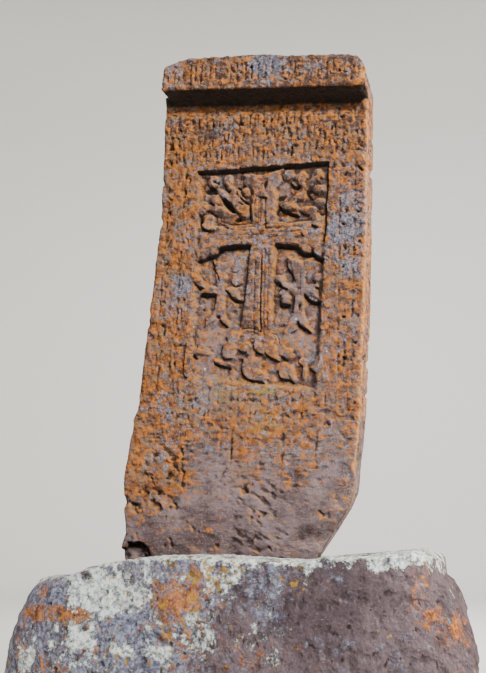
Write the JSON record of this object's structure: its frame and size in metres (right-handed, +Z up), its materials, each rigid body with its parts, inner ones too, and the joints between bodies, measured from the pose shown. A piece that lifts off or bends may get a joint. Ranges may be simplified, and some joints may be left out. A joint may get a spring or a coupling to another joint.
{
  "type": "khachkar",
  "caption": "Upright tuff slab carved with a cross and small figures in a sunken panel under a projecting cornice, set on a rough flat-bottomed boulder.",
  "frame": {"origin": "on the flat underside of the boulder, below the middle of the slab's foot", "axes": "+Z up, the carved face looks along -Y, +X to the right of someone who faces it"},
  "size_m": [1.4882, 0.8986, 2.4405],
  "materials": {
    "carved_tuff": "hewn purple-brown tuff, worn matt, mottled with orange and grey lichen",
    "boulder_stone": "rough purple-grey stone, pecked, with pale green-white and orange lichen"
  },
  "bodies": {
    "root": {"carved_slab": "carved_tuff", "base_boulder": "boulder_stone"}
  },
  "joints": []
}
